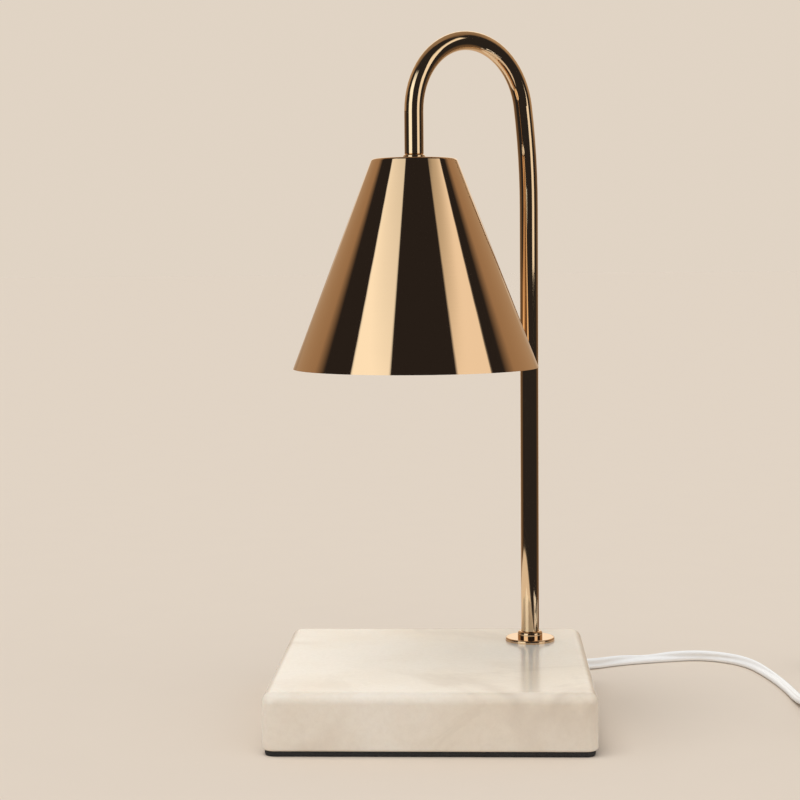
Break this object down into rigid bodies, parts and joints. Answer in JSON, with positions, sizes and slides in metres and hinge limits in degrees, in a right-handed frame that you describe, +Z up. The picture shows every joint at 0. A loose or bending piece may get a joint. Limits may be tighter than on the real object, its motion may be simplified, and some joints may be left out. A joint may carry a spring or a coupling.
{
  "type": "candle warmer lamp",
  "caption": "Small table lamp that melts a scented candle from above: square marble slab, gold gooseneck tube and open cone shade over a reflector bulb, with a dimmer and plug on its cord.",
  "frame": {"origin": "centre of the foam pad's underside, on the table, under the slab's middle", "axes": "+Z up, +X the lamp's right, +Y its back, where the pole stands and the cord leaves"},
  "size_m": [0.362, 0.2608, 0.3289],
  "materials": {
    "marble": "polished white marble, faint warm veins",
    "foam": "matt black foam",
    "gold": "polished",
    "rose_gold": "mirror polished",
    "zinc_steel": "zinc plated",
    "rubber": "soft white",
    "cord_plastic": "glossy white",
    "wire_brown": "satin",
    "wire_white": "satin",
    "ceramic": "unglazed steatite",
    "clear_glass": "clear",
    "bulb_glass": "mirrored inside",
    "block_plastic": "moulded",
    "white_plastic": "moulded, satin",
    "wheel_plastic": "moulded",
    "board": "solder mask",
    "tie": "moulded"
  },
  "bodies": {
    "lamp": {"marble_base": "marble", "base_pad": "foam", "pole_flange": "rose_gold", "pole_ring": "rose_gold", "base_nipple": "zinc_steel", "base_washer": "zinc_steel", "base_lock_washer": "zinc_steel", "base_nut": "zinc_steel", "cord_bushing": "rubber", "terminal_block": "block_plastic", "terminal_screws": "zinc_steel", "lamp_tube": "gold", "neck_nipple": "zinc_steel", "neck_washer": "zinc_steel", "neck_nut": "zinc_steel", "lamp_wire_live": "wire_brown", "lamp_wire_neutral": "wire_white", "cord_core_live": "wire_brown", "cord_core_neutral": "wire_white", "shade_bead": "gold", "shade": "rose_gold", "holder_strap": "zinc_steel", "holder_screws": "zinc_steel", "lamp_holder": "ceramic", "cord_lead": "cord_plastic", "cord_link": "cord_plastic", "cord_tail": "cord_plastic", "cord_coil": "cord_plastic", "cord_tie": "tie", "dimmer_lower_shell": "white_plastic", "dimmer_upper_shell": "white_plastic", "dimmer_board": "board", "dimmer_control": "block_plastic", "dimmer_screws": "zinc_steel", "dimmer_relief_near": "cord_plastic", "dimmer_relief_far": "cord_plastic", "plug_relief": "cord_plastic", "plug_body": "white_plastic", "plug_blades": "zinc_steel"},
    "bulb": {"bulb_reflector": "bulb_glass", "bulb_lens": "clear_glass", "bulb_capsule": "clear_glass", "bulb_pins": "zinc_steel"},
    "dimmer_wheel": {"dimmer_wheel": "wheel_plastic"}
  },
  "joints": [
    {"name": "bulb_twist", "type": "hinge", "parent": "lamp", "child": "bulb", "pos_m": [-0.00698, -0.00615, 0.2], "axis": [0, 0, 1], "range_deg": [0, 40]},
    {"name": "dimmer_turn", "type": "hinge", "parent": "lamp", "child": "dimmer_wheel", "pos_m": [0.19684, -0.06039, 0.0085], "axis": [0, 0, 1], "range_deg": [0, 300]}
  ]
}
